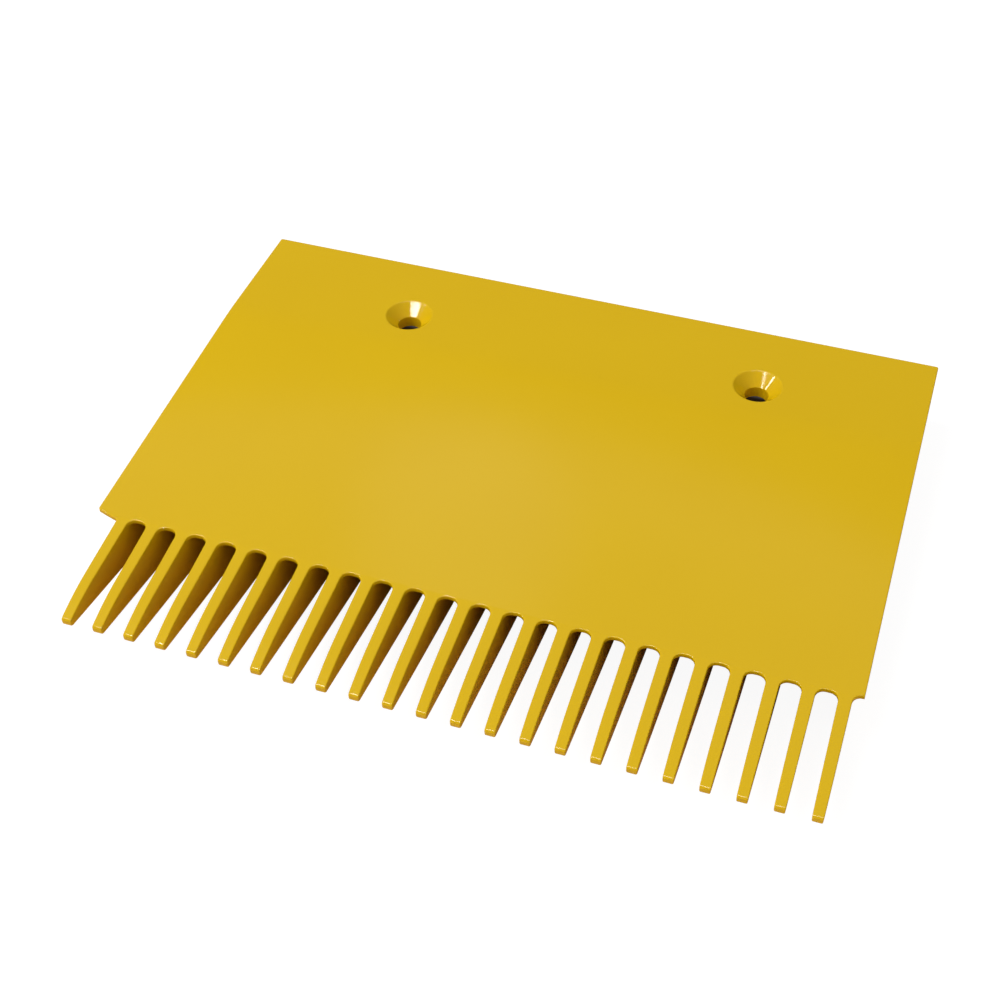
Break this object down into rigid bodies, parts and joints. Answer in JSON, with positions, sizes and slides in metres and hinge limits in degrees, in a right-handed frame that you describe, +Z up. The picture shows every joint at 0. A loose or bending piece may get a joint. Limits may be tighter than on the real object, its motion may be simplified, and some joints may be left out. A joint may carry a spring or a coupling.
{
  "type": "moving walkway comb plate",
  "caption": "Cast comb segment that bridges a moving walkway's grooved pallets and its landing: a sloping deck plate with tapered teeth and countersunk screw holes.",
  "frame": {"origin": "Middle of the line through the two screw holes, on the underside that seats on the comb carrier", "axes": "+X along the row of teeth, to the right as seen from the teeth, +Y towards the back edge, away from the teeth, +Z up, out of the countersinks"},
  "size_m": [0.1983, 0.1509, 0.0195],
  "materials": {
    "yellow_coat": "gloss"
  },
  "bodies": {
    "root": {"deck_plate": "yellow_coat", "tooth_01": "yellow_coat", "tooth_02": "yellow_coat", "tooth_03": "yellow_coat", "tooth_04": "yellow_coat", "tooth_05": "yellow_coat", "tooth_06": "yellow_coat", "tooth_07": "yellow_coat", "tooth_08": "yellow_coat", "tooth_09": "yellow_coat", "tooth_10": "yellow_coat", "tooth_11": "yellow_coat", "tooth_12": "yellow_coat", "tooth_13": "yellow_coat", "tooth_14": "yellow_coat", "tooth_15": "yellow_coat", "tooth_16": "yellow_coat", "tooth_17": "yellow_coat", "tooth_18": "yellow_coat", "tooth_19": "yellow_coat", "tooth_20": "yellow_coat", "tooth_21": "yellow_coat", "tooth_22": "yellow_coat", "tooth_23": "yellow_coat"}
  },
  "joints": []
}
